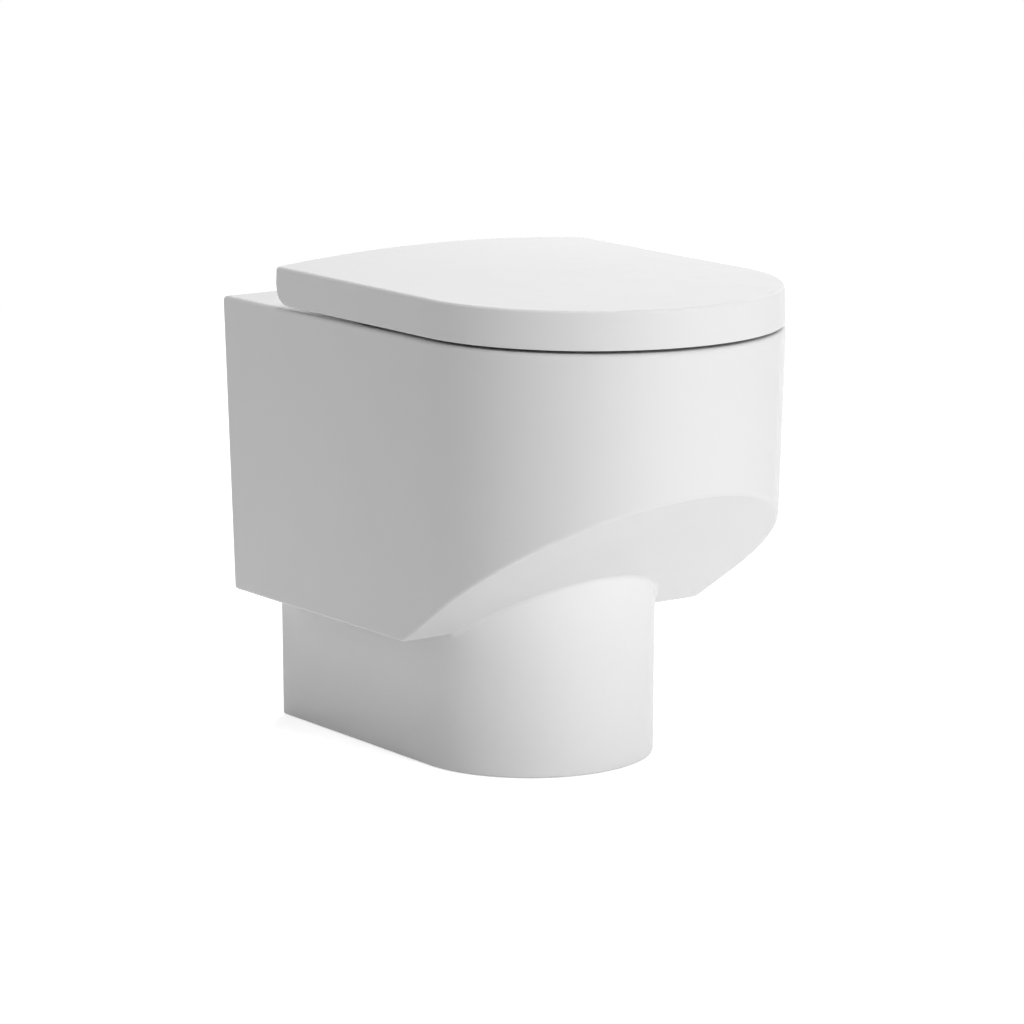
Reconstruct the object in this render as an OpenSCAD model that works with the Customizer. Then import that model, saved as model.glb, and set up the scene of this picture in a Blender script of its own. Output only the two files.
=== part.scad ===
// Back to wall toilet: hollow ceramic pan with a wrap-over lid and a quick-release soft-close seat.
// Origin: floor level, under the middle of the pan's footprint. +Y is the wall, -Y the front.

/* [Pan] */
// Width across the pan at its rim
pan_w = 370; // [350:5:400]
// Depth from the wall to the front of the pan
pan_d = 540; // [520:5:600]
// Height of the rim above the floor
pan_h = 430; // [420:5:460]
// Inward lean of the sides, mm for each mm downwards
side_draft = 0.034; // [0.01:0.002:0.05]
// Height of the flat underside above the floor
under_z = 135; // [120:1:145]
// Distance from the wall to the line where the underside starts to rise
under_run = 297; // [280:1:310]
// Angle at which the underside rises towards the front
under_rise = 33.4; // [28:0.2:36]
// Thickness of the fired wall
wall = 10; // [8:0.5:12]
// Thickness of the deck and rim
deck_t = 14; // [12:0.5:16]

/* [Foot] */
// Width of the foot at the floor
foot_w = 240; // [220:5:260]
// Depth of the foot from the wall to its front
foot_d = 380; // [360:5:400]
// Outward lean of the foot, mm for each mm upwards
foot_flare = 0.008; // [0.002:0.002:0.02]
// Thickness of the foot's wall
foot_t = 12; // [10:0.5:14]

/* [Bowl] */
// Width of the rim round the bowl
rim_w = 45; // [42:1:50]
// Distance from the wall to the back of the bowl's opening
bowl_back = 175; // [172:1:185]
// Distance from the wall to the middle of the sump
sump_run = 325; // [322:1:328]
// Height of the sump's floor above the floor
sump_z = 172; // [168:1:176]
// Radius of the waterway's bore
trap_r = 27; // [25:0.5:28]
// Height of the waterway's crest above the sump's floor, to its centre
crest_rise = 129; // [120:1:132]

/* [Connections] */
// Depth of the flush inlet's centre below the rim
inlet_drop = 55; // [53:0.5:57]
// Radius of the flush inlet's bore
inlet_r = 27.5; // [26:0.5:28]
// Radius of the flush pipe that the inlet seal takes
flush_pipe_r = 22.5; // [19:0.5:23]
// Distance from the wall to the end of the flush inlet
inlet_recess = 40; // [30:1:50]
// Height of the waste outlet's centre above the floor
outlet_z = 180; // [175:1:190]
// Outer radius of the waste spigot
spigot_r = 51; // [49:0.5:53]
// Distance from the wall to the end of the waste spigot
outlet_recess = 35; // [30:1:38]
// Distance between the two floor screws
screw_span = 170; // [160:2:180]

/* [Seat and lid] */
// Gap between the rim and the lid's lower edge
lid_gap = 3; // [2:0.5:4]
// Height of the lid's sides
lid_h = 36; // [35:0.5:40]
// Rise of the lid's top at the middle of its back edge
lid_crown = 9; // [6:0.5:12]
// Distance from the wall to the lid's back edge
lid_back = 96; // [90:1:100]
// Wall thickness of the lid
lid_t = 5; // [4:0.5:6]
// Thickness of the seat ring
seat_t = 20; // [16:0.5:20]
// Height of the rubber buffers under the seat
buffer_h = 7; // [6:0.5:7]
// Gap between the seat's edge and the lid's side
seat_gap = 6; // [4:0.5:8]
// Width of the seat ring at its front
ring_w = 64; // [56:1:66]

/* [Hinge] */
// Distance from the wall to the hinge axis
hinge_back = 114; // [112:1:116]
// Height of the hinge axis above the rim
hinge_rise = 24; // [24:0.5:25]
// Distance between the two seat fixings
fix_span = 155; // [145:1:165]
// Radius of the hinge pins
pin_r = 4; // [3:0.25:4.5]
// Outer radius of the hinge knuckles
knuckle_r = 10; // [9.5:0.25:10.5]
// Width of each hinge post
post_w = 22; // [20:1:24]
// Travel of each release button
button_travel = 2.5; // [1.5:0.25:3]

/* [Hidden] */
$fn = 96;

eps = 1;              // how far a cutter runs past what it cuts
fit = 0.05;           // running clearance on a radius
wall_y = pan_d / 2;
front_y = -pan_d / 2;
half_w = pan_w / 2;
nose_y = front_y + half_w;
kink_y = wall_y - under_run;
foot_nose_y = wall_y - foot_d + foot_w / 2;
foot_top = under_z + 70;

// bowl opening and the levels that the bowl passes through on its way down
bowl_r = min(half_w - rim_w, (pan_d - rim_w - bowl_back) / 2);
bowl_nose_y = front_y + rim_w + bowl_r;
bowl_tail_y = wall_y - bowl_back - bowl_r;
bowl_fn = 48;
sump_y = wall_y - sump_run;
ledge_z = pan_h - 38;
water_z = sump_z + 58;
mid_z = (ledge_z + water_z) / 2;

// waterway: its centreline lies in the YZ plane
trap_t = 8;
bend_step = 0.6;       // the bends are this much wider in radius than the straights
crest_z = sump_z + crest_rise;
start_z = sump_z + trap_r;
rise_a = 58;
fall_a = 75;
bend1_r = 38;
crest_r = 38;
bend2_r = 45;
bend1_y = sump_y + 50;
bend1_end = [bend1_y + bend1_r * sin(rise_a), start_z + bend1_r * (1 - cos(rise_a))];
crest_in_z = crest_z - crest_r + crest_r * cos(rise_a);
rise_len = (crest_in_z - bend1_end[1]) / sin(rise_a);
crest_c = [
    bend1_end[0] + rise_len * cos(rise_a) + crest_r * sin(rise_a),
    crest_z - crest_r
];
crest_out = crest_c + crest_r * [sin(fall_a), cos(fall_a)];
bend2_in_z = outlet_z + bend2_r * (1 - cos(fall_a));
fall_len = (crest_out[1] - bend2_in_z) / sin(fall_a);
bend2_c = [
    crest_out[0] + fall_len * cos(fall_a) + bend2_r * sin(fall_a),
    outlet_z + bend2_r
];
spigot_y = wall_y - outlet_recess;
spigot_t = 8;
flare_len = 12;

inlet_z = pan_h - inlet_drop;
inlet_y = wall_y - inlet_recess;
inlet_t = 8;

// floor screws
lug_y = wall_y - 35;
lug_h = 35;
lug_r = 16;
sleeve_r = 7;
screw_r = 4.5;

// lid and seat
lid_z = pan_h + lid_gap;
lid_top = lid_z + lid_h;
lid_lean = 2;
lid_edge = 2;
lid_y = wall_y - lid_back;
lid_roof = lid_t + 1;
hinge_y = wall_y - hinge_back;
hinge_z = pan_h + hinge_rise;
seat_z = pan_h + buffer_h;
seat_top = seat_z + seat_t;
seat_r = half_w - lid_t - seat_gap;
seat_front_y = nose_y - seat_r;
seat_y = hinge_y - 24;
seat_bridge = 57;
seat_in_r = min(seat_r - ring_w, (seat_y - seat_bridge - seat_front_y - ring_w) / 2);
seat_in_y = seat_front_y + ring_w + seat_in_r;
seat_tail_r = seat_in_r - 10;
seat_tail_y = seat_y - seat_bridge - seat_tail_r;
buffer_r = 8;
lid_pad_z = lid_top - lid_roof - 1;

// hinge stack, from the deck up
gasket_t = 1;
plate_t = 3.5;
plate_r = 16;
plate_top = pan_h + gasket_t + plate_t;
stud_r = 6;
stud_h = 10;
shank_r = 4;
plug_hole_r = 7.5;
plug_len = 36;
bulge_r = 11;
nut_h = 8;
side_gap = 0.5;
knuckle_w = 18;
bush_r = 7.5;
post_x = fix_span / 2;
post_depth = 19;
seat_knuckle_x = post_x - post_w / 2 - side_gap - knuckle_w;
lid_knuckle_x = post_x + post_w / 2 + side_gap;
button_w = 11;
button_h = 6;
button_gap = 0.3;
button_z = plate_top + 2;
button_seat = 0.5;
button_out = button_travel + 1;

// A shape drawn in (y, z), extruded evenly to both sides of the middle
module across(width) {
    translate([-width / 2, 0, 0])
        rotate([90, 0, 90])
            linear_extrude(width)
                children();
}

// A rod along X from x0 to x1, centred on y, z
module rod_x(x0, x1, y, z, r) {
    translate([x0, y, z])
        rotate([0, 90, 0])
            cylinder(h = x1 - x0, r = r);
}

// A rod along Y from y0 to y1, centred on z
module rod_y(y0, y1, z, r0, r1) {
    translate([0, y0, z])
        rotate([-90, 0, 0])
            cylinder(h = y1 - y0, r1 = r0, r2 = r1);
}

// Two round ends of different radius joined by their common tangents
module egg(r0, y0, r1, y1) {
    lean = asin((r0 - r1) / (y1 - y0));
    nx = cos(lean);
    ny = sin(lean);
    translate([0, y0])
        circle(r0);
    translate([0, y1])
        circle(r1);
    polygon([
        [r0 * nx, y0 + r0 * ny], [r1 * nx, y1 + r1 * ny],
        [-r1 * nx, y1 + r1 * ny], [-r0 * nx, y0 + r0 * ny]
    ]);
}

// Straight sides and a round nose, both leaning, from z0 to z1
module leaning_d(z0, z1, r0, r1, y_nose, y_back) {
    translate([0, y_back, 0])
        rotate([90, 0, 0])
            linear_extrude(y_back - y_nose)
                polygon([[-r0, z0], [r0, z0], [r1, z1], [-r1, z1]]);
    translate([0, y_nose, z0])
        cylinder(h = z1 - z0, r1 = r0, r2 = r1);
}

// The upper body, inset by t all round except at the wall
module body_block(t, top_t, y_back) {
    intersection() {
        leaning_d(
            0, pan_h - top_t,
            half_w - side_draft * pan_h - t, half_w - side_draft * top_t - t,
            nose_y, y_back
        );
        across(2 * pan_w)
            polygon([
                [y_back + eps, under_z + t],
                [kink_y + t * tan(under_rise / 2), under_z + t],
                [
                    front_y - eps,
                    under_z + t / cos(under_rise) + (kink_y - front_y + eps) * tan(under_rise)
                ],
                [front_y - eps, pan_h + eps],
                [y_back + eps, pan_h + eps]
            ]);
    }
}

module foot_block(t, z0, y_back) {
    leaning_d(
        z0, foot_top,
        foot_w / 2 + foot_flare * z0 - t, foot_w / 2 + foot_flare * foot_top - t,
        foot_nose_y, y_back
    );
}

// The bowl from its opening down to the sump, grown by t
module bowl_block(t) {
    levels = [
        [pan_h + eps, bowl_r + 1, bowl_nose_y, bowl_tail_y],
        [ledge_z, bowl_r - 3, bowl_nose_y, bowl_tail_y],
        [mid_z, bowl_r * 0.7, sump_y - 5, sump_y - 5],
        [water_z, 50, sump_y, sump_y],
        [sump_z - t, 38, sump_y + 2, sump_y + 2]
    ];
    hull()
        for (level = levels)
            for (y = [level[2], level[3]])
                translate([0, y, level[0]])
                    cylinder(h = 0.5, r = level[1] + t, $fn = bowl_fn);
}

// One bend of the waterway: centre c, bend radius, tube radius, start and sweep angles
module bend(c, bend_r, r, a0, sweep) {
    translate([0, c[0], c[1]])
        rotate([90, 0, 90])
            rotate([0, 0, a0])
                rotate_extrude(angle = sweep)
                    translate([bend_r, 0])
                        circle(r + bend_step);
}

// One straight stretch of the waterway, from point p, heading up at angle a
module straight(p, a, len, r) {
    translate([0, p[0], p[1]])
        rotate([a - 90, 0, 0])
            translate([0, 0, -eps])
                cylinder(h = len + 2 * eps, r = r);
}

module waterway(r) {
    straight([sump_y, start_z], 0, bend1_y - sump_y, r);
    bend([bend1_y, start_z + bend1_r], bend1_r, r, -90, rise_a);
    straight(bend1_end, rise_a, rise_len, r);
    bend(crest_c, crest_r, r, 90 - fall_a, rise_a + fall_a);
    straight(crest_out, -fall_a, fall_len, r);
    bend(bend2_c, bend2_r, r, -90 - fall_a, fall_a);
}

module spigot_outside() {
    rod_y(bend2_c[0] - flare_len, bend2_c[0], outlet_z, trap_r + trap_t, spigot_r);
    rod_y(bend2_c[0], spigot_y, outlet_z, spigot_r, spigot_r);
}

module spigot_inside() {
    rod_y(bend2_c[0] - eps, bend2_c[0] + flare_len, outlet_z, trap_r + 2, spigot_r - spigot_t);
    rod_y(bend2_c[0] + flare_len, spigot_y + eps, outlet_z, spigot_r - spigot_t, spigot_r - spigot_t);
}

module at_each_side(x) {
    for (side = [-1, 1])
        translate([side * x, 0, 0])
            children();
}

module pan() {
    color("white")
        difference() {
            union() {
                difference() {
                    union() {
                        body_block(0, 0, wall_y);
                        foot_block(0, 0, wall_y);
                    }
                    body_block(wall, deck_t, wall_y + eps);
                    foot_block(foot_t, -eps, wall_y + eps);
                }
                intersection() {
                    bowl_block(wall);
                    union() {
                        body_block(0, 0, wall_y);
                        foot_block(0, 0, wall_y);
                    }
                }
                waterway(trap_r + trap_t);
                spigot_outside();
                rod_y(bowl_tail_y + bowl_r - 20, inlet_y, inlet_z, inlet_r + inlet_t, inlet_r + inlet_t);
                for (side = [-1, 1])
                    translate([side * screw_span / 2, lug_y, 0]) {
                        cylinder(h = lug_h, r = lug_r);
                        translate([side > 0 ? 0 : -foot_t * 2, -lug_r, 0])
                            cube([foot_t * 2, 2 * lug_r, lug_h]);
                    }
            }
            bowl_block(0);
            waterway(trap_r);
            spigot_inside();
            rod_y(bowl_tail_y, inlet_y + eps, inlet_z, inlet_r, inlet_r);
            at_each_side(post_x)
                translate([0, hinge_y, pan_h - deck_t - eps])
                    cylinder(h = deck_t + 2 * eps, r = plug_hole_r);
            at_each_side(screw_span / 2)
                translate([0, lug_y, -eps])
                    cylinder(h = lug_h + 2 * eps, r = sleeve_r);
        }
}

// Guides the flush water to both sides of a bowl that has no hollow rim
module flush_distributor() {
    head_y = bowl_tail_y + bowl_r - 38;
    head_t = 4;
    slot_w = 12;
    slot_h = 24;
    tube_r = inlet_r - fit;
    tube_t = 3;
    tube_len = 56;
    color("whitesmoke")
        difference() {
            rod_y(head_y, head_y + tube_len, inlet_z, tube_r, tube_r);
            rod_y(head_y + head_t, head_y + tube_len + eps, inlet_z, tube_r - tube_t, tube_r - tube_t);
            translate([-inlet_r - eps, head_y + head_t, inlet_z - slot_h / 2])
                cube([2 * (inlet_r + eps), slot_w, slot_h]);
        }
}

// Rubber cone in the flush inlet that grips the flush pipe
module inlet_seal() {
    color("dimgray")
        difference() {
            union() {
                rod_y(inlet_y - 32, inlet_y, inlet_z, inlet_r, inlet_r);
                rod_y(inlet_y, inlet_y + 4, inlet_z, inlet_r + 6, inlet_r + 5);
            }
            rod_y(inlet_y - 32 - eps, inlet_y + 4 + eps, inlet_z, flush_pipe_r, flush_pipe_r);
        }
}

// Plastic sleeves that keep the floor screws off the ceramic
module floor_sleeves() {
    color("whitesmoke")
        at_each_side(screw_span / 2)
            translate([0, lug_y, 0])
                difference() {
                    union() {
                        translate([0, 0, 2])
                            cylinder(h = lug_h - 2, r = sleeve_r);
                        translate([0, 0, lug_h])
                            cylinder(h = 3, r = sleeve_r + 4);
                    }
                    translate([0, 0, -eps])
                        cylinder(h = lug_h + 3 + 2 * eps, r = screw_r);
                }
}

module at_post(side) {
    translate([side * post_x, hinge_y, 0])
        children();
}

module gasket(side) {
    color("dimgray")
        at_post(side)
            translate([0, 0, pan_h])
                difference() {
                    cylinder(h = gasket_t, r = plate_r);
                    translate([0, 0, -eps])
                        cylinder(h = gasket_t + 2 * eps, r = plug_hole_r);
                }
}

module base_plate(side) {
    color("silver")
        at_post(side)
            translate([0, 0, pan_h + gasket_t])
                difference() {
                    cylinder(h = plate_t, r = plate_r);
                    translate([0, 0, -eps])
                        cylinder(h = plate_t + 2 * eps, r = shank_r);
                }
}

module fixing_stud(side) {
    color("silver")
        at_post(side) {
            translate([0, 0, pan_h - plug_len - nut_h - 6])
                cylinder(h = plate_top - pan_h + plug_len + nut_h + 6, r = shank_r);
            translate([0, 0, plate_top])
                cylinder(h = stud_h - 1.5, r = stud_r);
            translate([0, 0, plate_top + stud_h - 1.5])
                cylinder(h = 1.5, r1 = stud_r, r2 = stud_r - 1.5);
        }
}

// Rubber plug that swells under the deck as the stud is tightened
module expanding_plug(side) {
    bulge_h = plug_len - deck_t - 4;
    color("dimgray")
        at_post(side)
            difference() {
                union() {
                    translate([0, 0, pan_h - plug_len])
                        cylinder(h = plug_len + gasket_t, r = plug_hole_r);
                    translate([0, 0, pan_h - plug_len + 2])
                        cylinder(h = bulge_h / 2, r1 = plug_hole_r, r2 = bulge_r);
                    translate([0, 0, pan_h - plug_len + 2 + bulge_h / 2])
                        cylinder(h = bulge_h / 2 + 2, r1 = bulge_r, r2 = plug_hole_r + 1.5);
                }
                translate([0, 0, pan_h - plug_len - eps])
                    cylinder(h = plug_len + gasket_t + 2 * eps, r = shank_r);
            }
}

module plug_nut(side) {
    color("silver")
        at_post(side)
            translate([0, 0, pan_h - plug_len - nut_h])
                difference() {
                    cylinder(h = nut_h, r = plug_hole_r - 0.3, $fn = 6);
                    translate([0, 0, -eps])
                        cylinder(h = nut_h + 2 * eps, r = shank_r);
                }
}

module hinge_post(side) {
    x0 = side * post_x - post_w / 2;
    color("silver")
        difference() {
            union() {
                rod_x(x0, x0 + post_w, hinge_y, hinge_z, knuckle_r);
                translate([x0, hinge_y - post_depth / 2, plate_top])
                    cube([post_w, post_depth, hinge_z - plate_top]);
            }
            rod_x(x0 - eps, x0 + post_w + eps, hinge_y, hinge_z, pin_r);
            translate([side * post_x, hinge_y, plate_top - eps])
                cylinder(h = stud_h + 0.5 + eps, r = stud_r + fit);
            translate([
                side * post_x - button_w / 2 - button_gap,
                hinge_y - post_depth / 2 - eps,
                button_z - button_gap
            ])
                cube([
                    button_w + 2 * button_gap,
                    eps + button_seat + button_travel + 0.5,
                    button_h + 2 * button_gap
                ]);
        }
}

module hinge_pin(side) {
    inner = seat_knuckle_x - 1;
    outer = lid_knuckle_x + knuckle_w + 1;
    x0 = side > 0 ? inner : -outer;
    color("silver")
        rod_x(x0, x0 + outer - inner, hinge_y, hinge_z, pin_r);
}

// Pushed in towards the wall, it frees the post from its stud
module release_button(side) {
    color("gainsboro")
        translate([
            side * post_x - button_w / 2,
            hinge_y - post_depth / 2 - button_out,
            button_z
        ])
            cube([button_w, button_out + button_seat, button_h]);
}

// A sleeve between a hinge pin and a knuckle
module pin_sleeve(x0) {
    difference() {
        rod_x(x0, x0 + knuckle_w, hinge_y, hinge_z, bush_r);
        rod_x(x0 - eps, x0 + knuckle_w + eps, hinge_y, hinge_z, pin_r + fit);
    }
}

module seat_outline() {
    corner = 18;
    intersection() {
        translate([0, nose_y])
            circle(seat_r);
        translate([-seat_r - eps, seat_front_y - eps])
            square([2 * (seat_r + eps), seat_y - corner - seat_front_y + eps]);
    }
    translate([-seat_r, nose_y])
        square([2 * seat_r, seat_y - corner - nose_y]);
    translate([-seat_r + corner, nose_y])
        square([2 * (seat_r - corner), seat_y - nose_y]);
    for (side = [-1, 1])
        translate([side * (seat_r - corner), seat_y - corner])
            circle(corner);
}

module seat_ring() {
    arm_z = seat_top - 13;
    color("white")
        difference() {
            union() {
                translate([0, 0, seat_z])
                    linear_extrude(seat_t)
                        difference() {
                            seat_outline();
                            egg(seat_in_r, seat_in_y, seat_tail_r, seat_tail_y);
                        }
                for (x0 = [-seat_knuckle_x - knuckle_w, seat_knuckle_x]) {
                    rod_x(x0, x0 + knuckle_w, hinge_y, hinge_z, knuckle_r);
                    translate([x0, seat_y - 10, arm_z])
                        cube([knuckle_w, hinge_y - seat_y + 10, seat_top - arm_z]);
                }
            }
            rod_x(-half_w, half_w, hinge_y, hinge_z, bush_r);
        }
}

module seat_buffers() {
    buffer_ring = bowl_r + buffer_r + 2;
    color("gainsboro")
        for (side = [-1, 1])
            translate([0, 0, pan_h]) {
                translate([side * buffer_ring * sin(40), bowl_nose_y - buffer_ring * cos(40), 0])
                    cylinder(h = buffer_h, r = buffer_r);
                translate([side * buffer_ring, hinge_y - 96, 0])
                    cylinder(h = buffer_h, r = buffer_r);
            }
}

module seat_damper() {
    color("dimgray")
        pin_sleeve(seat_knuckle_x);
}

module seat_bush() {
    color("gainsboro")
        pin_sleeve(-seat_knuckle_x - knuckle_w);
}

// Height of the lid's back edge above its rim, at x
function crown_at(x, r) = lid_crown * (1 - pow(x / r, 2));

// The lid's outer form, inset by t, with its roof lowered by roof_t
module lid_form(t, roof_t, z0) {
    r_low = half_w - t;
    r_high = half_w - lid_lean - t;
    top = lid_top - roof_t;
    back = lid_y - t;
    steps = 16;
    hull() {
        for (level = [[z0, r_low], [top - lid_edge, r_high], [top, r_high - lid_edge]]) {
            translate([0, nose_y, level[0]])
                cylinder(h = 0.01, r = level[1]);
            translate([-level[1], nose_y, level[0]])
                cube([2 * level[1], back - nose_y, 0.01]);
        }
        translate([0, back, 0])
            rotate([90, 0, 0])
                linear_extrude(0.5)
                    polygon([
                        for (i = [0 : steps])
                            let (x = (r_high - lid_edge) * (2 * i / steps - 1))
                                [x, top + crown_at(x, r_high - lid_edge)]
                    ]);
    }
}

// Side view of the lid: its lower back corner is round, so that it clears the deck as it turns
module lid_side_view() {
    round_r = hinge_z - lid_z;
    round_y = lid_y - round_r;
    translate([front_y - eps, lid_z])
        square([round_y - front_y + eps, 2 * lid_h]);
    translate([front_y - eps, hinge_z])
        square([lid_y - front_y + 2 * eps, 2 * lid_h]);
    translate([round_y, hinge_z])
        circle(round_r);
}

module at_lid_pads() {
    for (side = [-1, 1])
        for (y = [nose_y - 95, wall_y - bowl_back - 20])
            translate([side * 108, y, 0])
                children();
}

module lid() {
    rib_depth = 12;
    color("white")
        difference() {
            union() {
                difference() {
                    intersection() {
                        lid_form(0, 0, lid_z);
                        across(2 * pan_w)
                            lid_side_view();
                    }
                    difference() {
                        lid_form(lid_t, lid_roof, lid_z - eps);
                        at_lid_pads()
                            translate([0, 0, lid_pad_z])
                                cylinder(h = lid_roof + lid_crown, r = buffer_r + 2);
                    }
                    for (x0 = [-lid_knuckle_x - knuckle_w - 2, seat_knuckle_x - 2])
                        translate([x0, hinge_y, lid_z - eps])
                            cube([
                                lid_knuckle_x + knuckle_w - seat_knuckle_x + 4,
                                lid_y - hinge_y + eps,
                                hinge_z + 12 - lid_z + eps
                            ]);
                }
                for (x0 = [-lid_knuckle_x - knuckle_w, lid_knuckle_x]) {
                    rod_x(x0, x0 + knuckle_w, hinge_y, hinge_z, knuckle_r);
                    translate([x0, hinge_y - rib_depth / 2, hinge_z])
                        cube([knuckle_w, rib_depth, lid_top + 2 - hinge_z]);
                }
            }
            rod_x(-half_w + lid_t, half_w - lid_t, hinge_y, hinge_z, bush_r);
        }
}

module lid_buffers() {
    color("gainsboro")
        at_lid_pads()
            translate([0, 0, seat_top])
                cylinder(h = lid_pad_z - seat_top, r = buffer_r);
}

module lid_damper() {
    color("dimgray")
        pin_sleeve(-lid_knuckle_x - knuckle_w);
}

module lid_bush() {
    color("gainsboro")
        pin_sleeve(lid_knuckle_x);
}

pan();
flush_distributor();
inlet_seal();
floor_sleeves();
gasket(-1);  // gasket_left
gasket(1);  // gasket_right
base_plate(-1);  // base_plate_left
base_plate(1);  // base_plate_right
fixing_stud(-1);  // fixing_stud_left
fixing_stud(1);  // fixing_stud_right
expanding_plug(-1);  // expanding_plug_left
expanding_plug(1);  // expanding_plug_right
plug_nut(-1);  // plug_nut_left
plug_nut(1);  // plug_nut_right
hinge_post(-1);  // hinge_post_left
hinge_post(1);  // hinge_post_right
hinge_pin(-1);  // hinge_pin_left
hinge_pin(1);  // hinge_pin_right
release_button(-1);  // release_button_left
release_button(1);  // release_button_right
seat_ring();
seat_buffers();
seat_damper();
seat_bush();
lid();
lid_buffers();
lid_damper();
lid_bush();
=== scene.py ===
from math import cos, radians, sin, tan

import bmesh
import bpy
from mathutils import Matrix, Vector


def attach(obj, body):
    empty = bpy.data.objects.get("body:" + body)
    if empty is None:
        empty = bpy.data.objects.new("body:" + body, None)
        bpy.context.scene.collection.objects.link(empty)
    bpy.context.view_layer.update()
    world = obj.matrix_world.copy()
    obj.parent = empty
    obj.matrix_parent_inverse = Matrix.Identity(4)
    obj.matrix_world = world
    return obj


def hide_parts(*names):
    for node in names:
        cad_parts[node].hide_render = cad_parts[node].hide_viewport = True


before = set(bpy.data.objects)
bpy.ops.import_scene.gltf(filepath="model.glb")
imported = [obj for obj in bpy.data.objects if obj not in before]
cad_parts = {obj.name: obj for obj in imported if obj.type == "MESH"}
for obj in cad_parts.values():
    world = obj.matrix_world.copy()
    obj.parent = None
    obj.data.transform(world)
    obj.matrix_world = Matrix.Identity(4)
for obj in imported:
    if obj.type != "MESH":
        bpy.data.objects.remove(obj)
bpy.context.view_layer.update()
scene = bpy.context.scene
mm = 0.001
wallY = 270  # the wall's plane; the sizes of the pieces are in millimetres
past = 1  # a cutting tool runs this far past what it cuts
lap = 0.2  # tools that are joined run this far into each other
hair = 1e-6  # in metres, less than any real step in a shape

# the camera has the photograph's height, turn and lens; its places are in metres
photo = {
    "place": (-2.50116, -3.46932, 1.07977), "looks": (0.56938, 0.79895, -0.19362),
    "lens": 159.134, "sensor": 36, "near": 0.05, "far": 60,
}

cameraData = bpy.data.cameras.new("photoCamera")
cameraData.lens = photo["lens"]
cameraData.sensor_width = photo["sensor"]
cameraData.clip_start = photo["near"]
cameraData.clip_end = photo["far"]
camera = bpy.data.objects.new("photoCamera", cameraData)
camera.location = photo["place"]
camera.rotation_mode = "QUATERNION"
camera.rotation_quaternion = Vector(photo["looks"]).to_track_quat("-Z", "Y")
scene.collection.objects.link(camera)
scene.camera = camera
print("camera set")


# the shader groups are shared by all the finishes
def newGroup(name, inputs, outputs):
    group = bpy.data.node_groups.new(name, "ShaderNodeTree")
    for label, kind, value in inputs:
        socket = group.interface.new_socket(name=label, in_out="INPUT", socket_type=kind)
        socket.default_value = value
    for label, kind in outputs:
        group.interface.new_socket(name=label, in_out="OUTPUT", socket_type=kind)
    return group, group.nodes.new("NodeGroupInput"), group.nodes.new("NodeGroupOutput")


def makeMottle():
    # slow drift between two close colours
    group, start, end = newGroup(
        "mottle",
        [
            ("Colour", "NodeSocketColor", (0.8, 0.8, 0.8, 1)),
            ("Second", "NodeSocketColor", (0.7, 0.7, 0.7, 1)),
            ("Scale", "NodeSocketFloat", 8.0),
        ],
        [("Colour", "NodeSocketColor")],
    )
    nodes, links = group.nodes, group.links
    coords = nodes.new("ShaderNodeTexCoord")
    noise = nodes.new("ShaderNodeTexNoise")
    ramp = nodes.new("ShaderNodeMapRange")
    mix = nodes.new("ShaderNodeMix")
    mix.data_type = "RGBA"
    noise.inputs["Detail"].default_value = 3.0
    ramp.inputs["From Min"].default_value = 0.35
    ramp.inputs["From Max"].default_value = 0.68
    links.new(coords.outputs["Object"], noise.inputs["Vector"])
    links.new(start.outputs["Scale"], noise.inputs["Scale"])
    links.new(noise.outputs["Fac"], ramp.inputs["Value"])
    links.new(ramp.outputs["Result"], mix.inputs["Factor"])
    links.new(start.outputs["Colour"], mix.inputs["A"])
    links.new(start.outputs["Second"], mix.inputs["B"])
    links.new(mix.outputs["Result"], end.inputs["Colour"])
    return group


def makeSheenPatches():
    # gloss that comes and goes a little, as on a wiped surface
    group, start, end = newGroup(
        "sheenPatches",
        [
            ("Low", "NodeSocketFloat", 0.08),
            ("High", "NodeSocketFloat", 0.14),
        ],
        [("Roughness", "NodeSocketFloat")],
    )
    nodes, links = group.nodes, group.links
    coords = nodes.new("ShaderNodeTexCoord")
    stretch = nodes.new("ShaderNodeMapping")
    noise = nodes.new("ShaderNodeTexNoise")
    ramp = nodes.new("ShaderNodeMapRange")
    stretch.inputs["Scale"].default_value = (1.0, 1.0, 0.45)
    noise.inputs["Scale"].default_value = 14.0
    noise.inputs["Detail"].default_value = 5.0
    ramp.inputs["From Min"].default_value = 0.3
    ramp.inputs["From Max"].default_value = 0.7
    links.new(coords.outputs["Object"], stretch.inputs["Vector"])
    links.new(stretch.outputs["Vector"], noise.inputs["Vector"])
    links.new(noise.outputs["Fac"], ramp.inputs["Value"])
    links.new(start.outputs["Low"], ramp.inputs["To Min"])
    links.new(start.outputs["High"], ramp.inputs["To Max"])
    links.new(ramp.outputs["Result"], end.inputs["Roughness"])
    return group


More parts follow.
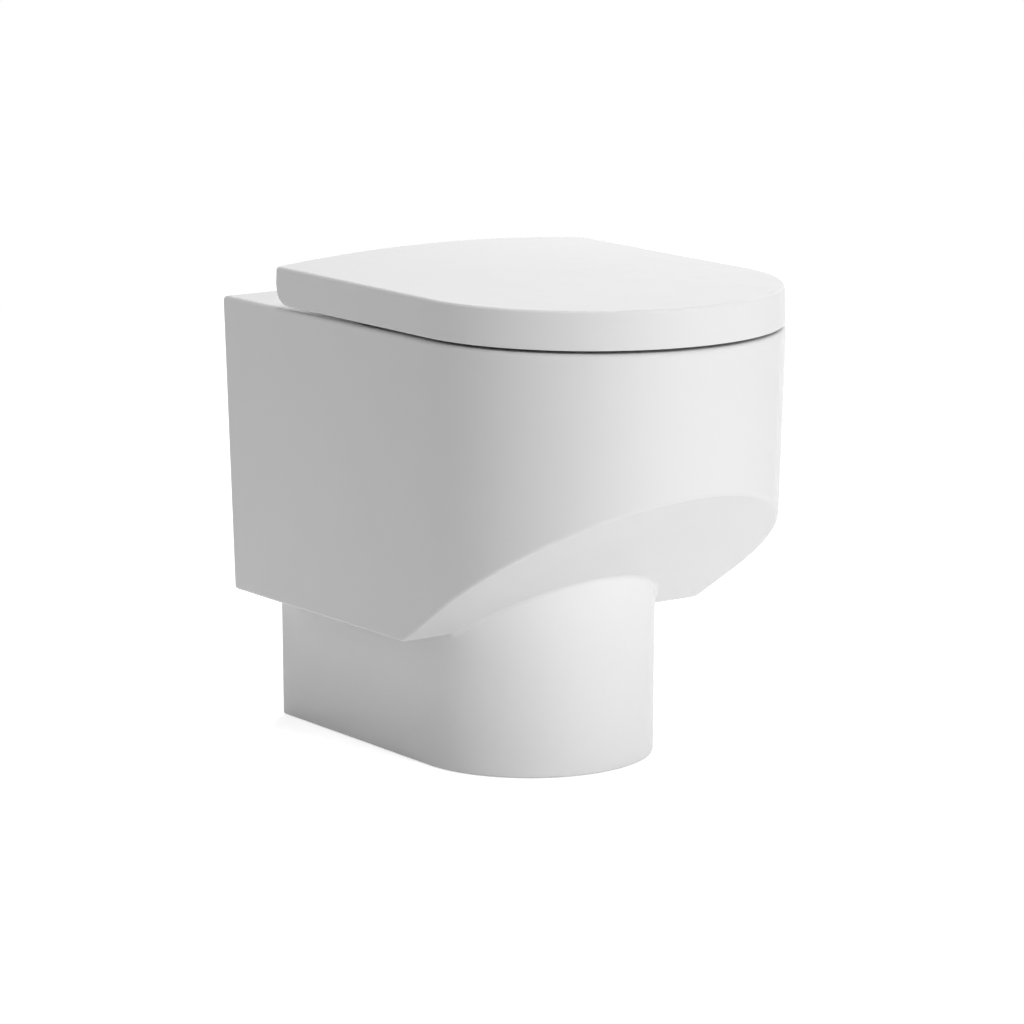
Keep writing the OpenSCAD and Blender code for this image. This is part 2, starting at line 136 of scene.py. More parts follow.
def makeRelief():
    # a fine grain over a slower swell, both as height
    group, start, end = newGroup(
        "relief",
        [
            ("Grain", "NodeSocketFloat", 900.0),
            ("Swell", "NodeSocketFloat", 20.0),
            ("Grain share", "NodeSocketFloat", 0.3),
        ],
        [("Height", "NodeSocketFloat")],
    )
    nodes, links = group.nodes, group.links
    coords = nodes.new("ShaderNodeTexCoord")
    grain = nodes.new("ShaderNodeTexNoise")
    swell = nodes.new("ShaderNodeTexNoise")
    mix = nodes.new("ShaderNodeMix")
    grain.inputs["Detail"].default_value = 2.0
    swell.inputs["Detail"].default_value = 1.0
    links.new(coords.outputs["Object"], grain.inputs["Vector"])
    links.new(coords.outputs["Object"], swell.inputs["Vector"])
    links.new(start.outputs["Grain"], grain.inputs["Scale"])
    links.new(start.outputs["Swell"], swell.inputs["Scale"])
    links.new(start.outputs["Grain share"], mix.inputs["Factor"])
    links.new(swell.outputs["Fac"], mix.inputs["A"])
    links.new(grain.outputs["Fac"], mix.inputs["B"])
    links.new(mix.outputs["Result"], end.inputs["Height"])
    return group


mottle = makeMottle()
sheenPatches = makeSheenPatches()
relief = makeRelief()


def placed(nodes, group, values):
    node = nodes.new("ShaderNodeGroup")
    node.node_tree = group
    for label, value in values.items():
        node.inputs[label].default_value = value
    return node


def makeFinish(name, finish):
    material = bpy.data.materials.new(name)
    material.use_nodes = True
    nodes, links = material.node_tree.nodes, material.node_tree.links
    shader = nodes["Principled BSDF"]
    colour = placed(nodes, mottle, {
        "Colour": (*finish["colour"], 1),
        "Second": (*finish["second"], 1),
        "Scale": finish["mottle"],
    })
    gloss = placed(nodes, sheenPatches, {"Low": finish["rough"][0], "High": finish["rough"][1]})
    height = placed(nodes, relief, {
        "Grain": finish["grain"],
        "Swell": finish["swell"],
        "Grain share": finish["grainShare"],
    })
    bump = nodes.new("ShaderNodeBump")
    bump.inputs["Strength"].default_value = finish["bump"]
    bump.inputs["Distance"].default_value = finish["bumpDepth"] * mm
    shader.inputs["Metallic"].default_value = finish.get("metal", 0.0)
    shader.inputs["IOR"].default_value = finish.get("ior", 1.5)
    links.new(colour.outputs["Colour"], shader.inputs["Base Color"])
    links.new(gloss.outputs["Roughness"], shader.inputs["Roughness"])
    links.new(height.outputs["Height"], bump.inputs["Height"])
    links.new(bump.outputs["Normal"], shader.inputs["Normal"])
    return material


finishes = {  # bumpDepth is in millimetres
    "glaze": {
        "colour": (0.822, 0.822, 0.825), "second": (0.806, 0.806, 0.810), "mottle": 4.0,
        "rough": (0.15, 0.21), "grain": 420.0, "swell": 26.0, "grainShare": 0.12,
        "bump": 0.18, "bumpDepth": 0.5, "ior": 1.5,
    },
    "bisque": {
        "colour": (0.74, 0.715, 0.67), "second": (0.66, 0.635, 0.59), "mottle": 18.0,
        "rough": (0.82, 0.92), "grain": 1400.0, "swell": 60.0, "grainShare": 0.55,
        "bump": 0.5, "bumpDepth": 0.5, "ior": 1.45,
    },
    "seatPlastic": {
        "colour": (0.818, 0.818, 0.820), "second": (0.806, 0.806, 0.809), "mottle": 5.0,
        "rough": (0.17, 0.23), "grain": 1600.0, "swell": 9.0, "grainShare": 0.2,
        "bump": 0.04, "bumpDepth": 0.4, "ior": 1.5,
    },
    "whitePlastic": {
        "colour": (0.78, 0.785, 0.78), "second": (0.74, 0.745, 0.735), "mottle": 30.0,
        "rough": (0.34, 0.44), "grain": 2600.0, "swell": 80.0, "grainShare": 0.6,
        "bump": 0.2, "bumpDepth": 0.3, "ior": 1.46,
    },
    "greyPlastic": {
        "colour": (0.30, 0.305, 0.31), "second": (0.26, 0.265, 0.27), "mottle": 40.0,
        "rough": (0.42, 0.55), "grain": 2600.0, "swell": 90.0, "grainShare": 0.7,
        "bump": 0.3, "bumpDepth": 0.3, "ior": 1.46,
    },
    "blackRubber": {
        "colour": (0.032, 0.032, 0.033), "second": (0.05, 0.049, 0.047), "mottle": 55.0,
        "rough": (0.6, 0.78), "grain": 2200.0, "swell": 120.0, "grainShare": 0.6,
        "bump": 0.4, "bumpDepth": 0.4, "ior": 1.5,
    },
    "greyRubber": {
        "colour": (0.52, 0.53, 0.53), "second": (0.46, 0.47, 0.47), "mottle": 60.0,
        "rough": (0.5, 0.66), "grain": 2400.0, "swell": 120.0, "grainShare": 0.6,
        "bump": 0.3, "bumpDepth": 0.3, "ior": 1.42,
    },
    "chrome": {
        "colour": (0.80, 0.81, 0.82), "second": (0.74, 0.75, 0.77), "mottle": 35.0,
        "rough": (0.06, 0.13), "grain": 1500.0, "swell": 90.0, "grainShare": 0.3,
        "bump": 0.06, "bumpDepth": 0.3, "metal": 1.0,
    },
    "zincSteel": {
        "colour": (0.60, 0.60, 0.585), "second": (0.47, 0.475, 0.48), "mottle": 160.0,
        "rough": (0.30, 0.46), "grain": 1800.0, "swell": 200.0, "grainShare": 0.5,
        "bump": 0.3, "bumpDepth": 0.2, "metal": 1.0,
    },
}
materials = {name: makeFinish(name, finish) for name, finish in finishes.items()}
print("finishes made")


# corners nearer than this, in metres, are joined
welds = {"shape": 2e-6, "bevelled": 2e-5, "flats": 1e-5, "cadCopy": 4e-6}


def asObject(name, bm, *finish):
    bmesh.ops.remove_doubles(bm, verts=bm.verts, dist=welds["shape"])
    bmesh.ops.recalc_face_normals(bm, faces=bm.faces)
    mesh = bpy.data.meshes.new(name)
    bm.to_mesh(mesh)
    bm.free()
    obj = bpy.data.objects.new(name, mesh)
    scene.collection.objects.link(obj)
    for material in finish:
        mesh.materials.append(materials[material])
    return obj


def settle(obj):
    # make the modifiers real
    view = bpy.context.evaluated_depsgraph_get()
    old = obj.data
    obj.data = bpy.data.meshes.new_from_object(obj.evaluated_get(view), depsgraph=view)
    obj.modifiers.clear()
    bpy.data.meshes.remove(old)
    return obj


def carve(target, tool, operation="DIFFERENCE"):
    modifier = target.modifiers.new("carve", "BOOLEAN")
    modifier.operation = operation
    modifier.solver = "MANIFOLD"
    modifier.material_mode = "TRANSFER"
    modifier.object = tool
    settle(target)
    spent = tool.data
    bpy.data.objects.remove(tool)
    bpy.data.meshes.remove(spent)
    return target


def joinFlats(obj):
    # faces in one plane become one, so that the rounding along them ends cleanly
    bm = bmesh.new()
    bm.from_mesh(obj.data)
    bmesh.ops.remove_doubles(bm, verts=bm.verts, dist=welds["bevelled"])
    bmesh.ops.dissolve_limit(bm, angle_limit=radians(0.3), verts=bm.verts, edges=bm.edges)
    bm.to_mesh(obj.data)
    bm.free()


def softenEdges(obj, width, rule, segments=4):
    # rule gives each edge its share of the width, from its middle and its angle
    bm = bmesh.new()
    bm.from_mesh(obj.data)
    bmesh.ops.remove_doubles(bm, verts=bm.verts, dist=welds["bevelled"])
    layer = bm.edges.layers.float.new("bevel_weight_edge")
    for edge in bm.edges:
        if len(edge.link_faces) == 2:
            middle = (edge.verts[0].co + edge.verts[1].co) / 2 / mm
            edge[layer] = rule(middle, edge.calc_face_angle_signed(0))
    bm.to_mesh(obj.data)
    bm.free()
    modifier = obj.modifiers.new("soften", "BEVEL")
    modifier.limit_method = "WEIGHT"
    modifier.width = width * mm
    modifier.segments = segments
    modifier.profile = 0.5
    modifier.use_clamp_overlap = False
    modifier.harden_normals = False
    return settle(obj)


def refillFlats(obj, levels, offLevel=0.02, crowded=0.3):
    # the flat faces at these heights are filled again in clean triangles
    bm = bmesh.new()
    bm.from_mesh(obj.data)
    bmesh.ops.remove_doubles(bm, verts=bm.verts, dist=welds["flats"])
    bmesh.ops.dissolve_degenerate(bm, edges=bm.edges, dist=welds["flats"])

    def flatsAt(level):
        return [
            f for f in bm.faces
            if abs(f.normal.z) > 0.999 and all(abs(v.co.z / mm - level) < offLevel for v in f.verts)
        ]

    for level in levels:
        # the rim would cross itself where two of its corners nearly meet, so they are joined
        flats = flatsAt(level)
        corners = [v for v in bm.verts if any(f in flats for f in v.link_faces)]
        bmesh.ops.remove_doubles(bm, verts=corners, dist=crowded * mm)
        flats = flatsAt(level)
        rim = [e for e in bm.edges if 0 < sum(f in flats for f in e.link_faces) < len(e.link_faces)]
        bmesh.ops.delete(bm, geom=flats, context="FACES")
        bmesh.ops.triangle_fill(bm, edges=rim, use_beauty=True, use_dissolve=False)
    bmesh.ops.recalc_face_normals(bm, faces=bm.faces)
    bm.to_mesh(obj.data)
    bm.free()


def smoothOver(obj, sharp=38):
    for polygon in obj.data.polygons:
        polygon.use_smooth = True
    obj.data.set_sharp_from_angle(angle=radians(sharp))
    modifier = obj.modifiers.new("evenShading", "WEIGHTED_NORMAL")
    modifier.mode = "FACE_AREA_WITH_ANGLE"
    modifier.keep_sharp = True
    return settle(obj)


def boxTool(name, low, high, *finish):
    low, high = Vector(low) * mm, Vector(high) * mm
    bm = bmesh.new()
    bmesh.ops.create_cube(bm, size=1.0)
    bmesh.ops.scale(bm, verts=bm.verts, vec=high - low)
    bmesh.ops.translate(bm, verts=bm.verts, vec=(low + high) / 2)
    return asObject(name, bm, *finish)


def rodTool(name, axis, start, end, place, radius, *finish, endRadius=None, segments=64):
    # a rod along one axis; place holds its other two coordinates, in order
    bm = bmesh.new()
    bmesh.ops.create_cone(
        bm, cap_ends=True, segments=segments, radius1=radius * mm,
        radius2=(radius if endRadius is None else endRadius) * mm, depth=(end - start) * mm,
    )
    turn = {"X": Matrix.Rotation(radians(90), 4, "Y"), "Y": Matrix.Rotation(radians(-90), 4, "X")}
    if axis in turn:
        bmesh.ops.transform(bm, verts=bm.verts, matrix=turn[axis])
    middle = (start + end) / 2
    spot = {
        "X": (middle, *place), "Y": (place[0], middle, place[1]), "Z": (*place, middle),
    }[axis]
    bmesh.ops.translate(bm, verts=bm.verts, vec=Vector(spot) * mm)
    return asObject(name, bm, *finish)


def noseOutline(bm, radius, noseY, backY, z, segments=96):
    # a half circle to the front, then straight sides back to backY; returns the line's two rear ends
    bmesh.ops.create_circle(bm, cap_ends=False, segments=2 * segments, radius=radius * mm)
    rear = [v for v in bm.verts if v.co.y > hair]
    bmesh.ops.delete(bm, geom=rear, context="VERTS")
    ends = [v for v in bm.verts if len(v.link_edges) == 1]
    tails = bmesh.ops.extrude_vert_indiv(bm, verts=ends)["verts"]
    bmesh.ops.translate(bm, verts=tails, vec=(0, (backY - noseY) * mm, 0))
    bmesh.ops.translate(bm, verts=bm.verts, vec=(0, noseY * mm, z * mm))
    return tails


def dBlock(bm, top, low, noseY, backY, z0, z1, lowNose=None):
    # closed D-shaped block; top and low are the half widths, lowNose the nose's reach at the bottom
    tails = noseOutline(bm, top, noseY, backY, z1)
    bmesh.ops.contextual_create(bm, geom=tails)
    cap = bmesh.ops.contextual_create(bm, geom=bm.edges[:])["faces"]
    grown = bmesh.ops.extrude_face_region(bm, geom=cap)["geom"]
    lower = [g for g in grown if isinstance(g, bmesh.types.BMVert)]
    bmesh.ops.translate(bm, verts=lower, vec=(0, 0, (z0 - z1) * mm))
    share = low / top
    reach = (low if lowNose is None else lowNose) / top
    bmesh.ops.scale(bm, verts=lower, vec=(share, 1, 1))
    nose = [v for v in lower if v.co.y < noseY * mm - hair]
    middle = Matrix.Translation((0, -noseY * mm, 0))
    bmesh.ops.scale(bm, verts=nose, vec=(1, reach, 1), space=middle)


def sliceOff(bm, place, normal):
    # cut away what lies beyond a plane and close the cut
    everything = bm.verts[:] + bm.edges[:] + bm.faces[:]
    cut = bmesh.ops.bisect_plane(
        bm, geom=everything, dist=1e-7, plane_co=Vector(place) * mm, plane_no=normal, clear_outer=True,
    )["geom_cut"]
    bmesh.ops.contextual_create(bm, geom=[g for g in cut if isinstance(g, bmesh.types.BMEdge)])


# the ceramic pan, in the dictionaries from pan to lugs
pan = {
    "height": 430, "halfWidth": 185, "noseY": -85,
    "lowHalf": 170.4, "lowNose": 174.6,  # the same outline at floor level, before the underside is cut
    "underZ": 134.8, "kinkY": -27.4, "underRise": 33.4,
    "footHalf": 119.8, "footNoseY": 10, "footFlare": 0.0078, "footTop": 205,
    "wall": 10, "deck": 14, "footWall": 12,
    "topRound": 4.5, "sideRound": 3.5, "kinkRound": 4.0, "junctionRound": 7.0, "floorRound": 2.0,
    "footSides": 96, "ballTurns": (20, 95), "ballSteps": 9, "ballLap": 0.04,
    "mouthRound": 5, "crease": 24,  # edges that turn less than this many degrees stay as they are
}
bowl = {
    "mouth": (140.5, -85, -45),  # radius, front centre, back centre
    "levels": [  # the same three after each height
        (392, 137, -85, -45), (350, 121, -75, -52), (311, 99, -62, -58), (268, 74, -57, -56),
        (230, 52, -55, -55), (196, 41, -54, -54), (178, 34, -53, -53),
    ],
    "sides": 64, "floorInset": 0.3, "floorSteps": (2.8, 1.4), "floorGrow": 0.8,
}
waterway = {
    "bore": 27, "skin": 8, "startY": -55, "startZ": 199, "bendStart": -5, "lowBend": 38, "rise": 58,
    "crestBend": 38, "crestZ": 301, "fall": 75, "outletBend": 45, "outletZ": 180, "overrun": 3,
    "spigot": 51, "spigotBore": 43, "spigotEnd": 235, "flare": 12,
    "sides": 40, "steps": (8, 18, 10),  # of the low bend, the crest and the outlet bend
}
inlet = {"z": 375, "start": -45, "skinStart": 60, "end": 230, "bore": 27.5, "skin": 8}
deckHoles = {"x": 77.5, "y": 156, "radius": 7.5, "depth": 20}
lugs = {"x": 85, "y": 235, "radius": 16, "height": 35, "bore": 7, "web": 24}


def bodySolid(inset, topZ, backY, finish):
    bm = bmesh.new()
    drop = (pan["height"] - topZ) / pan["height"]
    top = pan["halfWidth"] - (pan["halfWidth"] - pan["lowHalf"]) * drop - inset
    dBlock(bm, top, pan["lowHalf"] - inset, pan["noseY"], backY, 0, topZ, pan["lowNose"] - inset)
    rise = radians(pan["underRise"])
    sliceOff(bm, (0, 0, pan["underZ"] + inset), (0, 0, -1))
    place = (0, pan["kinkY"] + inset * tan(rise / 2), pan["underZ"] + inset)
    sliceOff(bm, place, (0, -sin(rise), -cos(rise)))
    kink = [
        e for e in bm.edges
        if all((v.co / mm - Vector((v.co.x / mm, *place[1:]))).length < 0.1 for v in e.verts)
    ]
    bmesh.ops.bevel(
        bm, geom=kink, offset=pan["kinkRound"] * mm, offset_type="OFFSET", segments=4, profile=0.5,
        affect="EDGES", material=-1,
    )
    return asObject("body", bm, finish)


def footReach(z):
    # half the foot's width at a height
    return pan["footHalf"] + pan["footFlare"] * z


def footSolid(inset, z0, backY, finish):
    bm = bmesh.new()
    top, low = footReach(pan["footTop"]) - inset, footReach(z0) - inset
    dBlock(bm, top, low, pan["footNoseY"], backY, z0, pan["footTop"])
    return asObject("foot", bm, finish)


def underside(y):
    # height of the pan's underside, with its kink rounded
    k, ahead = pan["kinkRound"], pan["kinkY"] - y
    rise = tan(radians(pan["underRise"]))
    if ahead <= -k:
        return pan["underZ"]
    if ahead >= k:
        return pan["underZ"] + rise * ahead
    return pan["underZ"] + rise * (k + ahead) ** 2 / (4 * k)


def rolledBall(ny, y):
    # a ball that rolls along the foot's wall under the pan: the turn at which it touches, its centre's height
    ball = pan["junctionRound"]
    touch, centre = 0, pan["height"]
    for turn in range(*pan["ballTurns"]):
        a = radians(turn)
        out = ball * (1 - cos(a))
        roof = underside(y + ny * (footReach(pan["underZ"]) + out))
        height = underside(y + ny * (footReach(roof) + out)) - ball * sin(a)
        if height < centre:
            touch, centre = turn, height
    return radians(touch), centre + pan["ballLap"]


def skirtedFoot(finish):
    # the foot's wall climbs into the underside on the arc of the rolled ball
    # the arc's height changes along the outline, so each place on it has its own column of corners
    bm = bmesh.new()
    ball, steps, sides = pan["junctionRound"], pan["ballSteps"], pan["footSides"]
    turns = [radians(180 + 180 * step / sides) for step in range(sides + 1)]
    places = [(-1, 0, wallY)] + [(cos(t), sin(t), pan["footNoseY"]) for t in turns] + [(1, 0, wallY)]
    columns = []
    for nx, ny, y in places:
        touch, centre = rolledBall(ny, y)
        corners = [(0, 0)]  # how far out, how high
        for step in range(steps + 1):
            a = touch * step / steps
            corners.append((ball * (1 - cos(a)), centre + ball * sin(a)))
        corners.append((ball * (1 - cos(touch)), pan["footTop"]))
        column = []
        for out, z in corners:
            reach = footReach(z) + out
            column.append(bm.verts.new(Vector((nx * reach, y + ny * reach, z)) * mm))
        columns.append(column)
    for left, right in zip(columns, columns[1:] + columns[:1]):
        for k in range(len(left) - 1):
            bm.faces.new((left[k], right[k], right[k + 1], left[k + 1]))
    for end in (0, -1):
        bm.faces.new([column[end] for column in columns])
    return asObject("foot", bm, finish)


def bowlSolid(grow, mouth, finish):
    # rings from the mouth down, bridged and closed at both ends, with a floor in steps
    bm = bmesh.new()
    rings = []
    for z, radius, front, back in mouth + bowl["levels"]:
        ring = bmesh.ops.create_circle(
            bm, cap_ends=False, segments=bowl["sides"], radius=(radius + grow) * mm,
        )["verts"]
        ahead = [v for v in ring if v.co.y < hair]
        behind = [v for v in ring if v.co.y > hair]
        bmesh.ops.translate(bm, verts=ahead, vec=(0, front * mm, z * mm))
        bmesh.ops.translate(bm, verts=behind, vec=(0, back * mm, z * mm))
        rings.append(ring)
    for upper, lower in zip(rings, rings[1:]):
        edges = [e for e in bm.edges if all(v in upper for v in e.verts) or all(v in lower for v in e.verts)]
        bmesh.ops.bridge_loops(bm, edges=edges)
    floor = bmesh.ops.contextual_create(bm, geom=rings[-1])["faces"]
    inset = (bowl["levels"][-1][1] + grow) * bowl["floorInset"]
    for step in bowl["floorSteps"]:
        bmesh.ops.inset_region(bm, faces=floor, thickness=inset * mm)
        bmesh.ops.translate(bm, verts=floor[0].verts, vec=(0, 0, -step * mm))
    bmesh.ops.translate(bm, verts=floor[0].verts, vec=(0, 0, -grow * bowl["floorGrow"] * mm))
    bmesh.ops.contextual_create(bm, geom=rings[0])
    return asObject("bowl", bm, finish)


def tubeSolid(radius, finish):
    # an open tube along the waterway's centre line, spun round each bend, then closed at both ends
    w = waterway
    bm = bmesh.new()
    heading = 0.0
    point = Vector((0, w["startY"], w["startZ"]))
    turn = Matrix.Translation(point * mm) @ Matrix.Rotation(radians(90), 4, "X")
    bmesh.ops.create_circle(bm, cap_ends=False, segments=w["sides"], radius=radius * mm, matrix=turn)
    start = bm.edges[:]

    def openEnd():
        return [e for e in bm.edges if e.is_boundary and e not in start] or start

    def straight(length):
        nonlocal point
        step = Vector((0, cos(heading), sin(heading))) * length
        grown = bmesh.ops.extrude_edge_only(bm, edges=openEnd())["geom"]
        verts = [g for g in grown if isinstance(g, bmesh.types.BMVert)]
        bmesh.ops.translate(bm, verts=verts, vec=step * mm)
        point = point + step

    def bend(bendRadius, turnBy, steps):
        nonlocal point, heading
        side = 1 if turnBy > 0 else -1
        centre = point + Vector((0, -sin(heading), cos(heading))) * bendRadius * side
        ring = openEnd()
        ring = ring + [v for v in bm.verts if any(e in ring for e in v.link_edges)]
        bmesh.ops.spin(
            bm, geom=ring, cent=centre * mm, axis=(1, 0, 0), angle=turnBy, steps=steps, use_merge=False,
            use_duplicate=False,
        )
        point = centre + Matrix.Rotation(turnBy, 3, "X") @ (point - centre)
        heading += turnBy

    lowSteps, crestSteps, outletSteps = w["steps"]
    straight(w["bendStart"] - w["startY"])
    bend(w["lowBend"], radians(w["rise"]), lowSteps)
    crestIn = w["crestZ"] - w["crestBend"] + w["crestBend"] * cos(radians(w["rise"]))
    straight((crestIn - point.z) / sin(radians(w["rise"])))
    bend(w["crestBend"], -radians(w["rise"] + w["fall"]), crestSteps)
    outIn = w["outletZ"] + w["outletBend"] * (1 - cos(radians(w["fall"])))
    straight((point.z - outIn) / sin(radians(w["fall"])))
    bend(w["outletBend"], radians(w["fall"]), outletSteps)
    straight(w["overrun"])
    bmesh.ops.contextual_create(bm, geom=openEnd())
    bmesh.ops.contextual_create(bm, geom=start)
    return asObject("tube", bm, finish), point.y - w["overrun"]


def buildPan():
    outer = bodySolid(0, pan["height"], wallY, "glaze")
    carve(outer, skirtedFoot("glaze"), "UNION")
    joinFlats(outer)

    def rule(middle, angle):
        if angle < radians(pan["crease"]):
            return 0.0
        if middle.z > pan["height"] - 1:
            return 1.0
        if middle.z < 1:
            return pan["floorRound"] / pan["topRound"]
        return pan["sideRound"] / pan["topRound"]

    softenEdges(outer, pan["topRound"], rule, 5)
    print("pan outside made", len(outer.data.polygons))

    rear = wallY + 4 * past
    inside = bodySolid(pan["wall"], pan["height"] - pan["deck"], rear, "bisque")
    carve(inside, footSolid(pan["footWall"], -2 * past, rear, "bisque"), "UNION")
    radius, front, back = bowl["mouth"]
    mouth = [(pan["height"] + 2 * past, radius, front, back)]
    carve(inside, bowlSolid(pan["wall"], mouth, "bisque"))
    w = waterway
    outlet = (0, w["outletZ"])
    skin, bendEnd = tubeSolid(w["bore"] + w["skin"], "bisque")
    carve(inside, skin)
    carve(inside, rodTool(
        "flare", "Y", bendEnd - w["flare"], bendEnd + lap, outlet, w["bore"] + w["skin"] - lap, "bisque",
        endRadius=w["spigot"],
    ))
    carve(inside, rodTool("spigot", "Y", bendEnd, w["spigotEnd"], outlet, w["spigot"], "bisque"))
    flush = (0, inlet["z"])
    boss = inlet["bore"] + inlet["skin"]
    carve(inside, rodTool("boss", "Y", inlet["skinStart"], inlet["end"], flush, boss, "bisque"))
    for side in (-1, 1):
        x = side * lugs["x"]
        x0, x1 = sorted((x, x + side * lugs["web"]))
        lug = rodTool("lug", "Z", -past, lugs["height"], (x, lugs["y"]), lugs["radius"], "bisque")
        low = (x0, lugs["y"] - lugs["radius"], -past)
        high = (x1, lugs["y"] + lugs["radius"], lugs["height"])
        carve(lug, boxTool("web", low, high, "bisque"), "UNION")
        carve(inside, lug)
    print("pan inside made", len(inside.data.polygons))

    carve(outer, inside)
    r = pan["mouthRound"]
    mouth = [(pan["height"] + 2 * past, radius + r, front, back)]
    for turn in range(0, 91, 15):
        a = radians(turn)
        mouth.append((pan["height"] - r * (1 - cos(a)), radius + r * (1 - sin(a)), front, back))
    carve(outer, bowlSolid(0, mouth, "glaze"))
    bore, bendEnd = tubeSolid(w["bore"], "glaze")
    carve(outer, bore)
    flareEnd, spigotEnd, inletEnd = bendEnd + w["flare"], w["spigotEnd"] + past, inlet["end"] + past
    carve(outer, rodTool(
        "flareBore", "Y", bendEnd - past, flareEnd, outlet, w["bore"] + past, "glaze",
        endRadius=w["spigotBore"],
    ))
    carve(outer, rodTool("spigotBore", "Y", flareEnd - lap, spigotEnd, outlet, w["spigotBore"], "glaze"))
    carve(outer, rodTool("inletBore", "Y", inlet["start"], inletEnd, flush, inlet["bore"], "bisque"))
    for side in (-1, 1):
        spot = (side * deckHoles["x"], deckHoles["y"])
        low, high = pan["height"] - deckHoles["depth"], pan["height"] + past
        carve(outer, rodTool("hole", "Z", low, high, spot, deckHoles["radius"], "bisque", segments=32))
        spot = (side * lugs["x"], lugs["y"])
        low, high = -2 * past, lugs["height"] + past
        carve(outer, rodTool("lugBore", "Z", low, high, spot, lugs["bore"], "bisque", segments=32))
    smoothOver(outer)
    outer.name = "ceramicPan"
    return outer


ceramicPan = buildPan()
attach(ceramicPan, "pan_body")
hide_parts("pan")
print("pan made", len(ceramicPan.data.polygons))


# the lid
lid = {
    "z": 433, "top": 469, "low": 185, "high": 183, "backY": 174, "crown": 9, "skin": 5, "roof": 6,
    "topRound": 3.0, "backRound": 2.5, "hemRound": 1.5, "crease": 24,
    "roofRings": (0.93, 0.82, 0.68, 0.52, 0.35, 0.17, 0.0), "roofCuts": 10,  # rings as shares of the outline
    "axisY": 156, "axisZ": 454, "cornerRound": 21,
    "notch": (46, 109), "notchZ": (420, 466), "notchBack": 180,
    "knuckle": (89, 107), "knuckleRadius": 10, "ribHalf": 6, "ribTop": 471,
    "bore": (-180, 180), "boreRadius": 7.5,
    "pads": [(108, -180), (108, 75)], "padRadius": 10, "padZ": (462, 490),
}


def lidSolid(inset, roofDrop, dropBelow, finish):
    low, high, back = lid["low"] - inset, lid["high"] - inset, lid["backY"] - inset
    floorZ, roofZ = lid["z"] - dropBelow, lid["top"] - roofDrop
    bm = bmesh.new()
    noseOutline(bm, low, pan["noseY"], back, floorZ)
    grown = bmesh.ops.extrude_edge_only(bm, edges=bm.edges[:])["geom"]
    ring = [g for g in grown if isinstance(g, bmesh.types.BMEdge)]
    verts = [g for g in grown if isinstance(g, bmesh.types.BMVert)]
    bmesh.ops.translate(bm, verts=verts, vec=(0, 0, (roofZ - floorZ) * mm))
    middle = Matrix.Translation((0, -pan["noseY"] * mm, 0))
    nose = [v for v in verts if v.co.y < pan["noseY"] * mm]
    bmesh.ops.scale(bm, verts=verts, vec=(high / low, 1, 1))
    bmesh.ops.scale(bm, verts=nose, vec=(1, high / low, 1), space=middle)
    last = 1.0
    for share in lid["roofRings"]:
        grown = bmesh.ops.extrude_edge_only(bm, edges=ring)["geom"]
        ring = [g for g in grown if isinstance(g, bmesh.types.BMEdge)]
        verts = [g for g in grown if isinstance(g, bmesh.types.BMVert)]
        nose = [v for v in verts if v.co.y < pan["noseY"] * mm - hair]
        bmesh.ops.scale(bm, verts=verts, vec=(share / last, 1, 1))
        bmesh.ops.scale(bm, verts=nose, vec=(1, share / last, 1), space=middle)
        last = share
    bmesh.ops.remove_doubles(bm, verts=bm.verts, dist=welds["shape"])
    bottom = [e for e in bm.edges if e.is_boundary and all(abs(v.co.z / mm - floorZ) < 0.01 for v in e.verts)]
    corners = [v for e in bottom for v in e.verts if sum(x in bottom for x in v.link_edges) == 1]
    rearEdge = bmesh.ops.contextual_create(bm, geom=corners)["edges"]
    bmesh.ops.contextual_create(bm, geom=bottom + rearEdge)
    # the roof climbs to its crown at the middle of the back
    # long strips are cut across first, so that the climb is a curve
    strips = [
        e for e in bm.edges
        if e.calc_length() > 100 * mm and abs(e.verts[0].co.x - e.verts[1].co.x) < 2 * mm
    ]
    bmesh.ops.subdivide_edges(bm, edges=strips, cuts=lid["roofCuts"], use_grid_fill=True)
    for v in [v for v in bm.verts if v.co.z > (roofZ - 0.5) * mm]:
        across = min(abs(v.co.x) / mm / high, 1.0)
        noseEnd = pan["noseY"] - high * (1 - across * across) ** 0.5
        along = (v.co.y / mm - noseEnd) / (back - noseEnd)
        v.co.z += lid["crown"] * (1 - across * across) * max(along, 0.0) * mm
    rear = [e for e in bm.edges if e.is_boundary]
    bmesh.ops.contextual_create(bm, geom=rear)
    if not inset:
        # the lower rear corner is round, so that it clears the deck as the lid turns
        heel = [
            e for e in bm.edges
            if all(v.co.y > (back - 1) * mm and v.co.z < (lid["z"] + 1) * mm for v in e.verts)
        ]
        bmesh.ops.bevel(
            bm, geom=heel, offset=lid["cornerRound"] * mm, offset_type="OFFSET", segments=16, profile=0.5,
            affect="EDGES", material=-1,
        )
    return asObject("lid", bm, finish)


